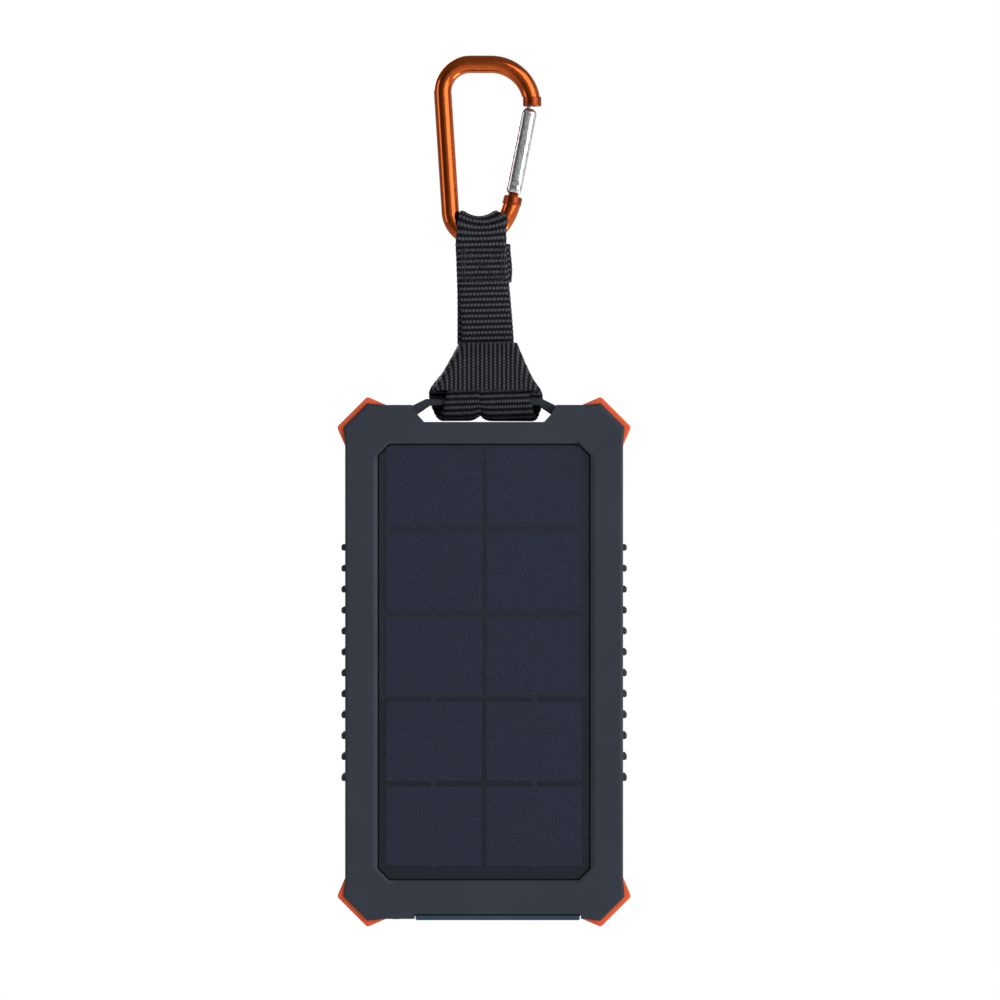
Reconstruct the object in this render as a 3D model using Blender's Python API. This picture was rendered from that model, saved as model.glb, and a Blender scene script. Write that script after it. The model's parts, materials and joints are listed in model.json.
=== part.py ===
"""Pocket solar charger hung by a webbing strap from a small carabiner.

Metres, +Z up. The solar panel faces -Y and +X is to its right. The origin is the inner
face of the carabiner's top bow, where a hook or a rucksack loop carries it.
"""

import math

import bmesh
import bpy
from mathutils import Matrix, Vector

MM = 0.001
GAP = 0.3 * MM  # clearance between neighbouring pieces

# Carabiner: round rod bent to a D, with a gate between its nose and its tongue.
ROD_R = 2.45 * MM
COLLAR_R = 2.65 * MM
TOP_LEFT_BEND = (-3.91 * MM, -5.18 * MM, 7.63 * MM)  # x, z and radius of the rod's centre line
TOP_RIGHT_BEND = (1.89 * MM, -8.92 * MM, 11.37 * MM)
BOTTOM_BEND = (-1.80 * MM, -38.14 * MM, 7.63 * MM)
GATE_BEND = (-7.21 * MM, -32.73 * MM, 15.26 * MM)
SPINE_LEAN = math.radians(3.66)
GATE_LEAN = math.radians(11.1)
GATE_PIVOT = Vector((8.70 * MM, 0, -30.9 * MM))
GATE_WIDTH, GATE_DEPTH = 3.9 * MM, 4.4 * MM
GATE_ABOVE, GATE_BELOW = 21.7 * MM, 3.0 * MM
TONGUE_THICK, GATE_SLOT = 1.2 * MM, 1.9 * MM
RIVET_R = 0.85 * MM

# Strap: one loop of webbing, round the carabiner's lower bend and hitched on the case's bar.
SWING_AXIS = Vector((BOTTOM_BEND[0], 0, BOTTOM_BEND[1] - BOTTOM_BEND[2]))
TOP_LOOP_IN, TOP_LOOP_OUT, TOP_LOOP_HALF = 4.4 * MM, 5.6 * MM, 3.8 * MM
BAR_AXIS = Vector((0, 0, -91.55 * MM))
HITCH_IN, HITCH_OUT = 3.3 * MM, 4.6 * MM
STRAP_HALF_THICK = 1.45 * MM
BIGHT_FRONT = 5.5 * MM

# Case.
CASE_HALF_W, CASE_H = 38.5 * MM, 142.4 * MM
CASE_FRONT, CASE_BACK = -9.0 * MM, 9.0 * MM
SPLIT = 3.0 * MM  # the plane where front shell and rear cover meet
CASE_TOP = BAR_AXIS.z - 0.8 * MM
CASE_BOTTOM = CASE_TOP - CASE_H
CASE_MID = (CASE_TOP + CASE_BOTTOM) / 2
SIDE_WALL, TOP_WALL, BOTTOM_WALL = 3.4 * MM, 8.0 * MM, 4.3 * MM
FRONT_WALL_BACK = -4.6 * MM
BACK_WALL_FRONT = 7.0 * MM
POCKET_DEEP, POCKET_LONG, POCKET_Y = 2.2 * MM, 11.7 * MM, 7.9 * MM
RIB_COUNT, RIB_PITCH, RIB_TALL, RIB_OUT = 12, 5.8 * MM, 1.8 * MM, 1.05 * MM
FIRST_RIB = CASE_TOP - 39.5 * MM
RIB_Y = 7.6 * MM
BAR_HALF_DEPTH = 2.5 * MM

# Solar panel.
WINDOW_HALF_W, WINDOW_HALF_H, WINDOW_CUT = 29.5 * MM, 60.5 * MM, 3.2 * MM
WINDOW_LEDGE_Y = -5.6 * MM
WINDOW_BEVEL = 1.2 * MM
CELL_W, CELL_H, CELL_GAP_X, CELL_GAP_Z = 26.4 * MM, 21.87 * MM, 1.4 * MM, 1.66 * MM
CELL_TOP = CASE_TOP - 11.65 * MM

# Bottom edge: ports under a rubber cover, and the power button beside it.
COVER_X = (-19.0 * MM, 26.5 * MM)
COVER_AXIS = Vector((3.7 * MM, 5.2 * MM, CASE_BOTTOM + 0.4 * MM))
COVER_RECESS, COVER_ROOM = 1.35 * MM, 1.25 * MM  # above the cover, and behind its turning edge
USB_A_X = (-10.5 * MM, 17.6 * MM)
MICRO_X = 3.5 * MM
PORT_Y = -0.35 * MM
BUTTON_X, BUTTON_Y = -24.4 * MM, -0.8 * MM
BUTTON_HALF_X, BUTTON_HALF_Y, BUTTON_GAP = 1.3 * MM, 2.2 * MM, 0.3 * MM
STEM_LOW = 1.2 * MM  # the switch's stem above the board's lower edge, just clear of the pressed button
BOARD_Y = (3.4 * MM, 4.6 * MM)
BOARD_Z = (CASE_BOTTOM + 4.7 * MM, CASE_BOTTOM + 38.0 * MM)

# Screws through the rear cover.
SCREW_X = 32.8 * MM
SCREW_Z = [CASE_TOP - drop * MM for drop in (20, 71.2, 122.4)]
BOSS_R, SCREW_R, HEAD_R = 2.6 * MM, 1.0 * MM, 2.0 * MM
LED_X = [(-26 + 4.2 * i) * MM for i in range(4)]
LED_Z = CASE_BOTTOM + 14 * MM

for old in list(bpy.data.objects):
    bpy.data.objects.remove(old, do_unlink=True)
parts = bpy.data.collections.new("solar_phone_charger")
cutters = bpy.data.collections.new("cutters")
bpy.context.scene.collection.children.link(parts)
bpy.context.scene.collection.children.link(cutters)


# Materials ------------------------------------------------------------------


def finish(name, colour, roughness, metallic=0.0):
    material = bpy.data.materials.new(name)
    material.use_nodes = True
    shader = material.node_tree.nodes["Principled BSDF"]
    shader.inputs["Base Color"].default_value = (*colour, 1)
    shader.inputs["Roughness"].default_value = roughness
    shader.inputs["Metallic"].default_value = metallic
    return material


ORANGE_ANODISED = finish("orange_anodised", (0.75, 0.18, 0.02), 0.25, 1.0)
GATE_ALUMINIUM = finish("gate_aluminium", (0.75, 0.76, 0.78), 0.3, 1.0)
STEEL = finish("steel", (0.55, 0.55, 0.56), 0.35, 1.0)
WEBBING = finish("webbing", (0.022, 0.022, 0.027), 0.9)
THREAD = finish("thread", (0.018, 0.018, 0.02), 0.8)
CASE_PLASTIC = finish("case_plastic", (0.036, 0.04, 0.052), 0.55)
BUMPER_ORANGE = finish("bumper_orange", (0.8, 0.09, 0.02), 0.6)
PANEL_FILM = finish("panel_film", (0.02, 0.025, 0.04), 0.4)
SILICON = finish("silicon", (0.025, 0.033, 0.055), 0.35)
LAMINATE = finish("laminate", (0.02, 0.025, 0.035), 0.6)
COPPER = finish("copper", (0.7, 0.42, 0.25), 0.35, 1.0)
RUBBER = finish("rubber", (0.02, 0.05, 0.06), 0.75)
POUCH = finish("pouch", (0.6, 0.6, 0.62), 0.3, 0.8)
FOAM = finish("foam", (0.05, 0.05, 0.05), 0.95)
BOARD_GREEN = finish("board_green", (0.01, 0.12, 0.05), 0.5)
CHIP_BLACK = finish("chip_black", (0.015, 0.015, 0.015), 0.5)
LAMP = finish("lamp", (0.85, 0.85, 0.8), 0.3)
RED_LEAD = finish("red_lead", (0.5, 0.02, 0.02), 0.5)
BLACK_LEAD = finish("black_lead", (0.02, 0.02, 0.02), 0.5)


# Shared shaping -------------------------------------------------------------


def keep(name, mesh, material, matrix=None):
    """A mesh as a named sub-part, or as a hidden cutter where it has no material."""
    obj = bpy.data.objects.new(name, mesh)
    if matrix is not None:
        obj.matrix_world = matrix
    if material is None:
        cutters.objects.link(obj)
        obj.hide_render = True
        obj.display_type = "WIRE"
    else:
        parts.objects.link(obj)
        mesh.materials.clear()
        mesh.materials.append(material)
    return obj


def box(name, x, y, z, material=None, bevel=0.0, segments=1, matrix=None):
    """A block between the limits given as pairs, its edges cut back by bevel."""
    low = Vector((x[0], y[0], z[0]))
    high = Vector((x[1], y[1], z[1]))
    shape = bmesh.new()
    bmesh.ops.create_cube(shape, size=1)
    bmesh.ops.scale(shape, vec=high - low, verts=shape.verts)
    bmesh.ops.translate(shape, vec=(low + high) / 2, verts=shape.verts)
    if bevel:
        bmesh.ops.bevel(
            shape, geom=shape.edges[:], offset=bevel, segments=segments, affect="EDGES", profile=0.5
        )
    mesh = bpy.data.meshes.new(name)
    shape.to_mesh(mesh)
    shape.free()
    return keep(name, mesh, material, matrix)


def rod(name, start, end, radius, material=None, sides=16, end_radius=None):
    """A cylinder, or a cone frustum, from one point to another."""
    start, end = Vector(start), Vector(end)
    shape = bmesh.new()
    bmesh.ops.create_cone(
        shape,
        cap_ends=True,
        segments=sides,
        radius1=radius,
        radius2=radius if end_radius is None else end_radius,
        depth=(end - start).length,
    )
    mesh = bpy.data.meshes.new(name)
    shape.to_mesh(mesh)
    shape.free()
    mesh.shade_smooth()
    mesh.set_sharp_from_angle(angle=math.radians(40))
    turn = (end - start).to_track_quat("Z", "Y").to_matrix().to_4x4()
    return keep(name, mesh, material, Matrix.Translation((start + end) / 2) @ turn)


def meshed(name, curve_object, material):
    """The curve object as a closed mesh, in its place."""
    bpy.context.view_layer.update()
    graph = bpy.context.evaluated_depsgraph_get()
    mesh = bpy.data.meshes.new_from_object(curve_object.evaluated_get(graph))
    shape = bmesh.new()
    shape.from_mesh(mesh)
    bmesh.ops.remove_doubles(shape, verts=shape.verts, dist=1e-7)
    bmesh.ops.recalc_face_normals(shape, faces=shape.faces)
    shape.to_mesh(mesh)
    shape.free()
    matrix = curve_object.matrix_world.copy()
    bpy.data.objects.remove(curve_object, do_unlink=True)
    return keep(name, mesh, material, matrix)


def plate(name, outline, low, high, along="Y", material=None, holes=()):
    """A flat outline with holes, from low to high along an axis.

    Outline points are (x, z) along Y and (y, z) along X.
    """
    curve = bpy.data.curves.new(name, "CURVE")
    curve.dimensions = "2D"
    curve.fill_mode = "BOTH"
    curve.extrude = (high - low) / 2
    for ring in (outline, *holes):
        spline = curve.splines.new("POLY")
        spline.points.add(len(ring) - 1)
        for point, (across, up) in zip(spline.points, ring):
            point.co = (across, up, 0, 1)
        spline.use_cyclic_u = True
    obj = bpy.data.objects.new(name + "_outline", curve)
    bpy.context.scene.collection.objects.link(obj)
    middle = (low + high) / 2
    if along == "Y":
        obj.matrix_world = Matrix.Translation((0, middle, 0)) @ Matrix.Rotation(math.pi / 2, 4, "X")
    else:
        turn = Matrix(((0, 0, 1, 0), (1, 0, 0, 0), (0, 1, 0, 0), (0, 0, 0, 1)))
        obj.matrix_world = Matrix.Translation((middle, 0, 0)) @ turn
    return meshed(name, obj, material)


def tube(name, points, radius, material=None, resolution=2, radii=None, cyclic=False):
    """A wire or rod along the points."""
    curve = bpy.data.curves.new(name, "CURVE")
    curve.dimensions = "3D"
    curve.bevel_depth = radius
    curve.bevel_resolution = resolution
    curve.use_fill_caps = not cyclic
    spline = curve.splines.new("POLY")
    spline.points.add(len(points) - 1)
    for i, (point, co) in enumerate(zip(spline.points, points)):
        point.co = (*co, 1)
        point.radius = radii[i] if radii else 1.0
    spline.use_cyclic_u = cyclic
    obj = bpy.data.objects.new(name + "_route", curve)
    bpy.context.scene.collection.objects.link(obj)
    return meshed(name, obj, material)


def combine(target, others, operation="DIFFERENCE"):
    for other in others:
        step = target.modifiers.new(other.name, "BOOLEAN")
        step.operation = operation
        step.object = other
        step.solver = "EXACT"


def arc(bend, start, end, steps):
    """Points (across, up) along a bend (across, up, radius) between angles in degrees."""
    across, up, radius = bend
    angles = [math.radians(start + (end - start) * i / steps) for i in range(steps + 1)]
    return [(across + radius * math.cos(a), up + radius * math.sin(a)) for a in angles]


def mirrored(points):
    """The outline of the points at +X followed by their mirror image at -X."""
    return points + [(-x, z) for x, z in reversed(points)]


# Carabiner ------------------------------------------------------------------


def gate_frame():
    """Places a shape drawn upright round the gate's pivot."""
    return Matrix.Translation(GATE_PIVOT) @ Matrix.Rotation(GATE_LEAN, 4, "Y")


def build_carabiner_body():
    lean = math.degrees(SPINE_LEAN)
    tail = math.degrees(GATE_LEAN)
    route = arc(TOP_RIGHT_BEND, -2.5, 90, 12) + arc(TOP_LEFT_BEND, 90, 180 + lean, 12)
    route += arc(BOTTOM_BEND, 180 + lean, 315, 14) + arc(GATE_BEND, -45, -tail, 6)[1:]
    up = Vector((math.sin(GATE_LEAN), 0, math.cos(GATE_LEAN)))
    route = [Vector((x, 0, z)) for x, z in route]
    nose, foot = route[0], route[-1]
    collar = COLLAR_R / ROD_R
    top = [nose + Vector((0, 0, rise * MM)) for rise in (0.15, 2.0, 2.4)]
    low = [foot + up * 0.1 * MM, foot + up * 0.4 * MM, foot + up * 1.35 * MM]
    points = top + route[3:-1] + low
    radii = [collar, collar, 1.0] + [1.0] * len(route[3:-1]) + [1.0, 1.03, 1.03]
    body = tube("carabiner_body", points, ROD_R, ORANGE_ANODISED, 4, radii)
    frame = gate_frame()
    # The tongue that the gate straddles, and the thin lip beside it.
    tongue = box("tongue", (-1.45 * MM, 1.45 * MM), (-TONGUE_THICK / 2, TONGUE_THICK / 2),
                 (-4.6 * MM, 1.9 * MM), None, 0.25 * MM, 1, frame)
    lip = box("stop_lip", (-2.5 * MM, -2.28 * MM), (-1.2 * MM, 1.2 * MM), (-4.3 * MM, -0.2 * MM),
              None, 0, 1, frame)
    combine(body, [tongue, lip], "UNION")
    across = Vector((0, 3 * MM, 0))
    hole = rod("rivet_hole", GATE_PIVOT - across, GATE_PIVOT + across, RIVET_R + 0.15 * MM)
    nose_slot = box("nose_slot", (-6 * MM, 0.9 * MM), (-1.05 * MM, 1.05 * MM),
                    (GATE_ABOVE - 2 * MM, GATE_ABOVE + 2.6 * MM), None, 0, 1, frame)
    combine(body, [hole, nose_slot])


def build_gate():
    """The gate, its rivet, and the plunger and coil spring inside it."""
    frame = gate_frame()
    half_w, half_d = GATE_WIDTH / 2, GATE_DEPTH / 2
    gate = box("gate", (-half_w, half_w), (-half_d, half_d), (-GATE_BELOW, GATE_ABOVE - 0.35 * MM),
               GATE_ALUMINIUM, 0.75 * MM, 2, frame)
    nose = box("gate_nose", (-1.2 * MM, 0.45 * MM), (-0.7 * MM, 0.7 * MM),
               (GATE_ABOVE - 3 * MM, GATE_ABOVE + 1.9 * MM), None, 0.2 * MM, 1, frame)
    combine(gate, [nose], "UNION")
    slot = box("gate_slot", (-4 * MM, 4 * MM), (-GATE_SLOT / 2, GATE_SLOT / 2), (-6 * MM, 2.9 * MM),
               None, 0, 1, frame)
    bore = rod("gate_bore", frame @ Vector((0, 0, 2 * MM)), frame @ Vector((0, 0, 13 * MM)), 1.25 * MM,
               None, 12)
    y = Vector((0, 3.5 * MM, 0))
    hole = rod("gate_rivet_hole", GATE_PIVOT - y, GATE_PIVOT + y, RIVET_R + 0.15 * MM)
    below_heel = [(-5 * MM, -5 * MM), (5 * MM, -5 * MM), (5 * MM, -2.6 * MM)]
    below_heel += arc((0, 0, 2.95 * MM), 300, 180, 8) + [(-5 * MM, 0)]
    heel = plate("gate_heel", below_heel, -4 * MM, 4 * MM)
    heel.matrix_world = frame @ heel.matrix_world
    combine(gate, [slot, bore, hole, heel])
    head = Vector((0, half_d + 0.12 * MM, 0))
    shank = rod("gate_rivet", GATE_PIVOT - head * 1.05, GATE_PIVOT + head * 1.05, RIVET_R, STEEL, 16)
    for side in (-1, 1):
        start = GATE_PIVOT + head * side
        end = start + Vector((0, 0.45 * MM * side, 0))
        dome = rod(f"rivet_head_{side}", start, end, 1.15 * MM, None, 16, 0.8 * MM)
        combine(shank, [dome], "UNION")
    rod("gate_plunger", frame @ Vector((0, 0, 2.25 * MM)), frame @ Vector((0, 0, 5.0 * MM)), 0.9 * MM,
        STEEL, 12)
    turns, steps = 6, 9
    coil = []
    for i in range(turns * steps + 1):
        angle = 2 * math.pi * i / steps
        height = (5.6 + 6.8 * i / (turns * steps)) * MM
        coil.append(frame @ Vector((0.72 * MM * math.cos(angle), 0.72 * MM * math.sin(angle), height)))
    tube("gate_spring", coil, 0.18 * MM, STEEL, 1)


# Strap ----------------------------------------------------------------------


def build_strap():
    """Webbing, drawn as its front outline crossed with its side outline."""
    swing_z, bar_z = SWING_AXIS.z, BAR_AXIS.z
    x = SWING_AXIS.x
    shoulder, neck, corner, foot = -49.9 * MM, -75.3 * MM, -89.8 * MM, -96.6 * MM
    front = [
        (x - TOP_LOOP_HALF, -39 * MM), (x - TOP_LOOP_HALF, shoulder), (-7.3 * MM, shoulder),
        (-7.0 * MM, neck), (-16.0 * MM, corner), (-13.4 * MM, bar_z), (-12.9 * MM, foot),
        (13.9 * MM, foot), (14.4 * MM, bar_z), (16.2 * MM, corner), (8.0 * MM, neck),
        (7.6 * MM, shoulder), (x + TOP_LOOP_HALF, shoulder), (x + TOP_LOOP_HALF, -39 * MM),
    ]
    side = arc((0, swing_z, TOP_LOOP_OUT), -40, 220, 20)
    side += [(-STRAP_HALF_THICK, -58.5 * MM), (-STRAP_HALF_THICK, neck), (-BIGHT_FRONT, -79.5 * MM)]
    side += [(-BIGHT_FRONT, -88.3 * MM), (-HITCH_OUT, -88.7 * MM)]
    side += arc((0, bar_z, HITCH_OUT), 180, 360, 14)
    side += [(HITCH_OUT, -80.5 * MM), (STRAP_HALF_THICK, neck), (STRAP_HALF_THICK, -58.5 * MM)]
    eyes = [arc((0, swing_z, TOP_LOOP_IN), 0, 342, 19), arc((0, bar_z, HITCH_IN), 0, 342, 19)]
    strap = plate("strap_webbing", front, -8 * MM, 8 * MM, "Y", WEBBING)
    profile = plate("strap_side", side, -18 * MM, 18 * MM, "X", None, eyes)
    combine(strap, [profile], "INTERSECT")
    slope = math.atan2(2.8, 9.1)
    frame = Matrix.Translation((0.1 * MM, -3.6 * MM, -53.6 * MM)) @ Matrix.Rotation(slope, 4, "X")
    around = ((-1, -1), (1, -1), (1, 1), (-1, 1))
    corners = [frame @ Vector((across * 5.4 * MM, 0, up * 4.1 * MM)) for across, up in around]
    tube("strap_stitching", corners, 0.2 * MM, THREAD, 1, cyclic=True)


# Case shells ----------------------------------------------------------------


def case_outline(inset=0.0):
    """Front outline: chamfered corners that flare a little past the straight sides."""
    w = CASE_HALF_W - inset
    top, bottom = CASE_TOP - inset, CASE_BOTTOM + inset
    long, mid, flare = 11.0 * MM, 6.2 * MM, 0.45 * MM
    right = [
        (w - long, top), (w - mid, top + flare), (w + flare, top - mid), (w, top - long),
        (w, bottom + long), (w + flare, bottom + mid), (w - mid, bottom - flare), (w - long, bottom),
    ]
    return mirrored(right)


def cavity_outline():
    w = CASE_HALF_W - SIDE_WALL
    top, bottom, cut = CASE_TOP - TOP_WALL, CASE_BOTTOM + BOTTOM_WALL, 18.2 * MM
    right = [
        (CASE_HALF_W - cut + TOP_WALL, top), (w, CASE_TOP - cut + SIDE_WALL),
        (w, CASE_BOTTOM + cut - SIDE_WALL), (CASE_HALF_W - cut + BOTTOM_WALL, bottom),
    ]
    return mirrored(right)


def window_outline(grow=0.0):
    w, h, cut = WINDOW_HALF_W + grow, WINDOW_HALF_H + grow, WINDOW_CUT + 0.6 * grow
    right = [
        (w - cut, CASE_MID + h), (w, CASE_MID + h - cut), (w, CASE_MID - h + cut), (w - cut, CASE_MID - h),
    ]
    return mirrored(right)


def slot_outline():
    """The strap slot in the case's top edge, open above and bridged by the bar."""
    right = [
        (21.0 * MM, CASE_TOP + 2 * MM), (19.9 * MM, CASE_TOP - 0.2 * MM),
        (18.6 * MM, CASE_TOP - 2.55 * MM), (16.6 * MM, CASE_TOP - 4.74 * MM),
    ]
    return mirrored(right)


def bar_outline():
    right = [
        (16.2 * MM, BAR_AXIS.z + 0.92 * MM), (20.2 * MM, CASE_TOP - 0.25 * MM),
        (21.5 * MM, CASE_TOP - 1.2 * MM), (21.5 * MM, CASE_TOP - 3.4 * MM),
        (18.7 * MM, CASE_TOP - 2.65 * MM), (15.1 * MM, BAR_AXIS.z - 0.94 * MM),
    ]
    return mirrored(right)


def corner_points(right, top, points):
    """Points given as (in from the side, in from the end) at one corner of the case."""
    side, end, inward = (1 if right else -1), (CASE_TOP if top else CASE_BOTTOM), (-1 if top else 1)
    return [(side * (CASE_HALF_W - a * MM), end + inward * b * MM) for a, b in points]


# Each corner's name, and whether it is on the right and at the top.
CORNERS = {
    "top_left": (False, True),
    "top_right": (True, True),
    "bottom_left": (False, False),
    "bottom_right": (True, False),
}


def cut_pockets(shell, y):
    """Pockets in the corners for the rubber bumpers."""
    deep, long = POCKET_DEEP / MM, POCKET_LONG / MM
    slant, past = 8.12, -5
    for name, (right, top) in CORNERS.items():
        points = [(long, past), (long, deep), (slant, deep)]
        points += [(deep, slant), (deep, long), (past, long), (past, past)]
        pocket = plate(f"{shell.name}_pocket_{name}", corner_points(right, top, points), *y)
        combine(shell, [pocket])


def add_ribs(shell, y):
    """Grip ribs down both sides, from inside the wall to just proud of it."""
    for side in (-1, 1):
        comb = bmesh.new()
        for i in range(RIB_COUNT):
            rib = bmesh.ops.create_cube(comb, size=1)["verts"]
            size = Vector((2.2 * MM, y[1] - y[0], RIB_TALL))
            x = side * (CASE_HALF_W + RIB_OUT - 1.1 * MM)
            centre = Vector((x, sum(y) / 2, FIRST_RIB - i * RIB_PITCH))
            bmesh.ops.scale(comb, vec=size, verts=rib)
            bmesh.ops.translate(comb, vec=centre, verts=rib)
        outer = [e for e in comb.edges if all(abs(v.co.x) > CASE_HALF_W for v in e.verts)]
        bmesh.ops.bevel(comb, geom=outer, offset=0.4 * MM, segments=1, affect="EDGES", profile=0.5)
        mesh = bpy.data.meshes.new("ribs")
        comb.to_mesh(mesh)
        comb.free()
        ribs = keep(f"{shell.name}_ribs_{side}", mesh, None)
        combine(shell, [ribs], "UNION")


def round_outline(mesh_object, y, width, segments):
    """Bevels every edge of the flat outline lying in the plane at y, before any cut is made."""
    shape = bmesh.new()
    shape.from_mesh(mesh_object.data)
    matrix = mesh_object.matrix_world
    bmesh.ops.dissolve_limit(shape, angle_limit=0.01, verts=shape.verts, edges=shape.edges)
    rim = [e for e in shape.edges if all(abs((matrix @ v.co).y - y) < 1e-6 for v in e.verts)]
    bmesh.ops.bevel(shape, geom=rim, offset=width, segments=segments, affect="EDGES", profile=0.5)
    shape.to_mesh(mesh_object.data)
    shape.free()


def cover_recess(shell):
    """Cuts the port cover's seat into the bottom edge."""
    x = (COVER_X[0] - GAP, COVER_X[1] + GAP)
    y = (-12 * MM, COVER_AXIS.y + COVER_ROOM)
    z = (CASE_BOTTOM - 2 * MM, CASE_BOTTOM + COVER_RECESS)
    combine(shell, [box(f"{shell.name}_cover_recess", x, y, z)])


def screw_places():
    """The six screws' x and z."""
    return [(side * SCREW_X, z) for side in (-1, 1) for z in SCREW_Z]


def build_front_shell():
    shell = plate("front_shell", case_outline(), CASE_FRONT, SPLIT - GAP / 2, "Y", CASE_PLASTIC)
    round_outline(shell, CASE_FRONT, 0.8 * MM, 3)
    add_ribs(shell, (-RIB_Y, SPLIT - GAP / 2))
    cavity = plate("front_cavity", cavity_outline(), FRONT_WALL_BACK, 12 * MM)
    combine(shell, [cavity])
    bosses = []
    for i, (x, z) in enumerate(screw_places()):
        end = (x, SPLIT - GAP / 2 - 0.2 * MM, z)
        bosses.append(rod(f"front_boss_{i}", (x, -6 * MM, z), end, BOSS_R, None, 16))
    combine(shell, bosses, "UNION")
    recess = plate("window_recess", window_outline(), -15 * MM, WINDOW_LEDGE_Y)
    through = plate("window_through", window_outline(-2.6 * MM), -15 * MM, 0)
    bevel_y = (CASE_FRONT - WINDOW_BEVEL / 2, CASE_FRONT + WINDOW_BEVEL / 2)
    slope = plate("window_bevel", window_outline(2 * WINDOW_BEVEL), *bevel_y)
    taper_to_rear(slope, 2 * WINDOW_BEVEL)
    slot = plate("front_slot", slot_outline(), -15 * MM, 15 * MM)
    combine(shell, [recess, through, slope, slot])
    bar = plate("strap_bar", bar_outline(), -BAR_HALF_DEPTH, BAR_HALF_DEPTH)
    round_outline(bar, -BAR_HALF_DEPTH, 0.3 * MM, 1)
    combine(shell, [bar], "UNION")
    cut_pockets(shell, (-POCKET_Y, 12 * MM))
    cover_recess(shell)
    mouth_z = (CASE_BOTTOM - 1 * MM, CASE_BOTTOM + BOTTOM_WALL + 1 * MM)
    mouths = [port_mouth("micro_mouth", MICRO_X, 4.1 * MM, 1.9 * MM, mouth_z)]
    for i, x in enumerate(USB_A_X):
        mouths.append(port_mouth(f"usb_mouth_{i}", x, 6.6 * MM, 2.9 * MM, mouth_z))
    half_x, half_y = BUTTON_HALF_X + BUTTON_GAP, BUTTON_HALF_Y + BUTTON_GAP
    hole_x, hole_y = (BUTTON_X - half_x, BUTTON_X + half_x), (BUTTON_Y - half_y, BUTTON_Y + half_y)
    mouths.append(box("button_hole", hole_x, hole_y, mouth_z, None, 0.8 * MM, 2))
    room_x, room_y = (BUTTON_X - 2.7 * MM, BUTTON_X + 2.7 * MM), (BUTTON_Y - 3.5 * MM, BUTTON_Y + 3.4 * MM)
    room_z = (CASE_BOTTOM + BOTTOM_WALL, CASE_BOTTOM + 9 * MM)
    mouths.append(box("flange_room", room_x, room_y, room_z))
    pilots = []
    for i, (x, z) in enumerate(screw_places()):
        pilots.append(rod(f"pilot_{i}", (x, -3.9 * MM, z), (x, 12 * MM, z), SCREW_R + GAP, None, 10))
    combine(shell, mouths + pilots)


def port_mouth(name, x, half_x, half_y, z):
    return box(name, (x - half_x, x + half_x), (PORT_Y - half_y, PORT_Y + half_y), z)


def taper_to_rear(cutter, width):
    """Shrinks the cutter's rear outline so that its sides slope in by the given width."""
    centre = Vector((0, 0, CASE_MID))
    matrix = cutter.matrix_world
    inverse = matrix.inverted()
    rear = max((matrix @ v.co).y for v in cutter.data.vertices)
    for vertex in cutter.data.vertices:
        place = matrix @ vertex.co
        if abs(place.y - rear) < 1e-6:
            place.x -= math.copysign(width, place.x - centre.x)
            place.z -= math.copysign(width, place.z - centre.z)
            vertex.co = inverse @ place


def build_rear_cover():
    cover = plate("rear_cover", case_outline(), SPLIT + GAP / 2, CASE_BACK, "Y", CASE_PLASTIC)
    round_outline(cover, CASE_BACK, 1.2 * MM, 3)
    add_ribs(cover, (SPLIT + GAP / 2, RIB_Y))
    cavity = plate("rear_cavity", cavity_outline(), -12 * MM, BACK_WALL_FRONT)
    combine(cover, [cavity])
    bosses, holes = [], []
    for i, (x, z) in enumerate(screw_places()):
        start = (x, SPLIT + GAP / 2 + 0.2 * MM, z)
        bosses.append(rod(f"rear_boss_{i}", start, (x, 8 * MM, z), BOSS_R, None, 16))
        holes.append(rod(f"screw_way_{i}", (x, -12 * MM, z), (x, 12 * MM, z), SCREW_R + GAP, None, 12))
        holes.append(rod(f"head_way_{i}", (x, 7.4 * MM, z), (x, 12 * MM, z), HEAD_R + GAP, None, 16))
    combine(cover, bosses, "UNION")
    slot = plate("rear_slot", slot_outline(), -15 * MM, 15 * MM)
    combine(cover, [slot])
    cut_pockets(cover, (-12 * MM, POCKET_Y))
    for i, x in enumerate(LED_X):
        holes.append(rod(f"lamp_way_{i}", (x, 5 * MM, LED_Z), (x, 12 * MM, LED_Z), 1.2 * MM, None, 12))
    field = box("grip_pad_recess", (-24 * MM, 24 * MM), (8.5 * MM, 12 * MM),
                (CASE_MID - 44 * MM, CASE_MID + 48 * MM))
    combine(cover, holes + [field])
    cover_recess(cover)
    groove = plate("seal_groove", seal_outline(-0.7 * MM), -12 * MM, SPLIT + 1.5 * MM, "Y", None,
                   [seal_outline(0.7 * MM)])
    combine(cover, [groove])


def seal_outline(inset):
    """The seal's line round the shells, moved inwards by inset."""
    side, top, bottom = 1.7 * MM + inset, 6.25 * MM + inset, 2.6 * MM + inset
    cut = 15.1 * MM + math.sqrt(2) * inset
    w = CASE_HALF_W
    right = [
        (w - cut + top, CASE_TOP - top), (w - side, CASE_TOP - cut + side),
        (w - side, CASE_BOTTOM + cut - side), (w - cut + bottom, CASE_BOTTOM + bottom),
    ]
    return mirrored(right)


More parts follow.
